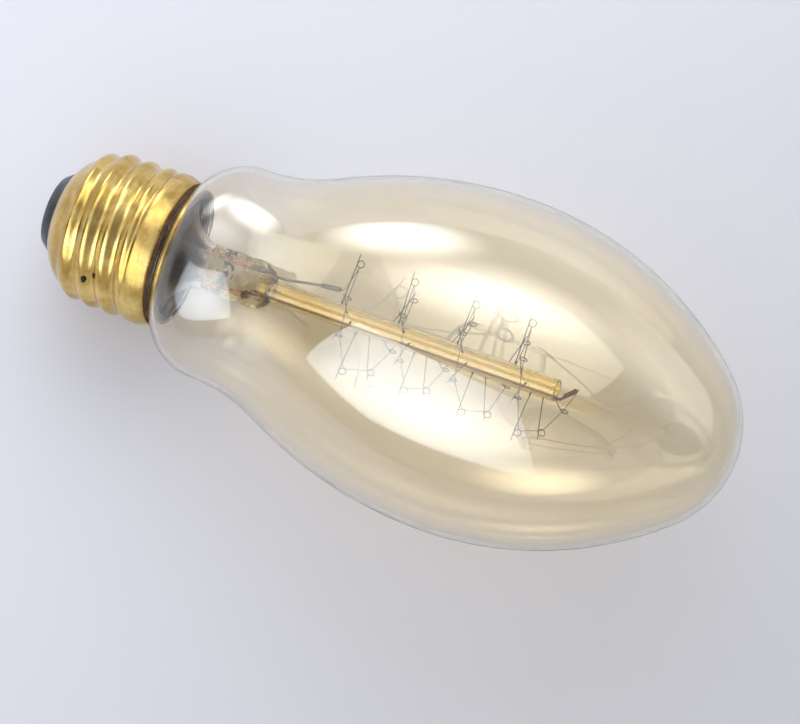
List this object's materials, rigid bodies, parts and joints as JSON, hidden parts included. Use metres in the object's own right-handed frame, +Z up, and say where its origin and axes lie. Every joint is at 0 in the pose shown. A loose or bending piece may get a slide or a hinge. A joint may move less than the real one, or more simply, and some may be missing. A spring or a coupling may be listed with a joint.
{
  "type": "filament bulb",
  "caption": "Long clear filament lamp with a screw cap, a glass stem, a centre tube and a fine filament strung through looped support wires.",
  "frame": {"origin": "on the table, under the middle of the lamp's length and width as it lies on its side", "axes": "+X from the screw cap towards the glass tip, +Z up; the lamp axis rises by 13.6 degrees towards the tip"},
  "size_m": [0.1218, 0.0572, 0.0593],
  "materials": {
    "cap_brass": "polished, rolled sheet",
    "cap_glass": "dark glossy glass filling",
    "contact_brass": "satin",
    "solder": "soft grey solder",
    "weld": "dark weld bead",
    "cement": "baked brown cement",
    "envelope_glass": "clear, lightly tinted amber",
    "stem_glass": "clear",
    "press_glass": "clear, pinched",
    "tube_glass": "gold tinted",
    "copper": "bare copper wire",
    "seal_copper": "copper-clad wire in glass",
    "lead_nickel": "dull grey wire",
    "clamp_nickel": "dull grey",
    "support_wire": "dark drawn wire",
    "filament_carbon": "very fine dark wire"
  },
  "bodies": {
    "root": {"screw_shell": "cap_brass", "cap_insulator": "cap_glass", "centre_contact": "contact_brass", "centre_solder": "solder", "side_weld": "weld", "basing_cement": "cement", "glass_envelope": "envelope_glass", "stem_flare": "stem_glass", "stem_press": "press_glass", "exhaust_tube": "stem_glass", "arbor_tube": "tube_glass", "side_outer_lead": "copper", "centre_outer_lead": "copper", "side_seal_wire": "seal_copper", "centre_seal_wire": "seal_copper", "near_lead": "lead_nickel", "far_lead": "lead_nickel", "near_clamp": "clamp_nickel", "far_clamp": "clamp_nickel", "support_wires_turn_1": "support_wire", "support_wires_turn_2": "support_wire", "support_wires_turn_3": "support_wire", "support_wires_turn_4": "support_wire", "filament": "filament_carbon"}
  },
  "joints": []
}
